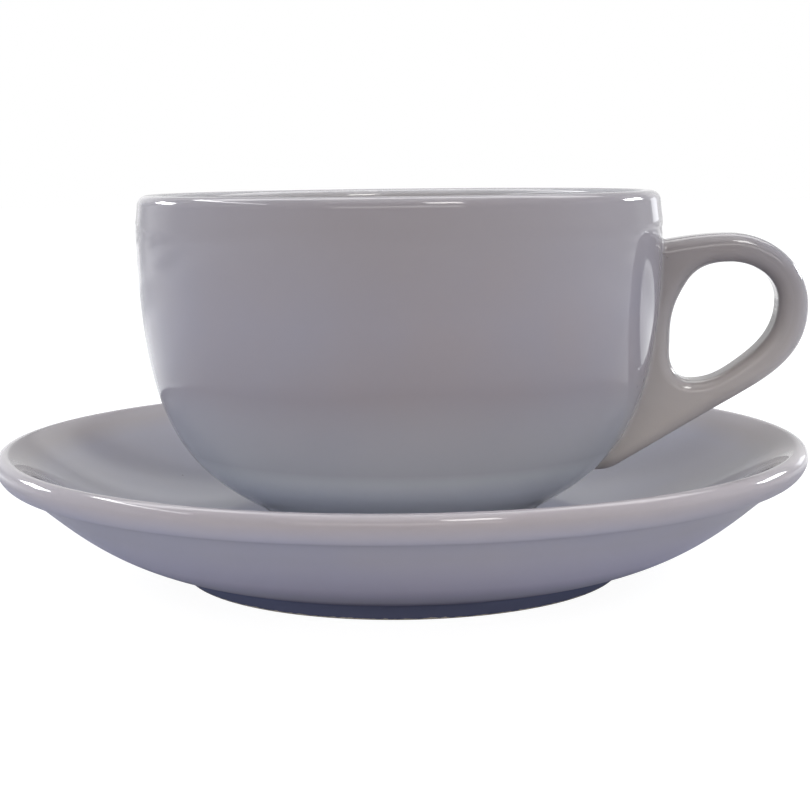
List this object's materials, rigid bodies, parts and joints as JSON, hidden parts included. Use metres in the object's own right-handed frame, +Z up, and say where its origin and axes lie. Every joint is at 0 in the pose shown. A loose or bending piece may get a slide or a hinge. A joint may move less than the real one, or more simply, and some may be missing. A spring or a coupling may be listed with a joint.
{
  "type": "cup and saucer",
  "caption": "Thick-walled porcelain cappuccino cup with a ring handle and a tail, standing in the well of its matching saucer.",
  "frame": {"origin": "on the common axis of the cup and the saucer, in the plane that the saucer's foot ring stands on", "axes": "+Z up, +X from the axis towards the handle"},
  "size_m": [0.15, 0.15, 0.0708],
  "materials": {
    "bowl_glaze": "gloss",
    "handle_glaze": "gloss",
    "saucer_glaze": "gloss"
  },
  "bodies": {
    "saucer": {"saucer": "saucer_glaze"},
    "cup": {"cup_bowl": "bowl_glaze", "cup_handle": "handle_glaze"}
  },
  "joints": [
    {"name": "cup_lift", "type": "slide", "parent": "saucer", "child": "cup", "axis": [0, 0, 1], "range_m": [0, 0.06]}
  ]
}
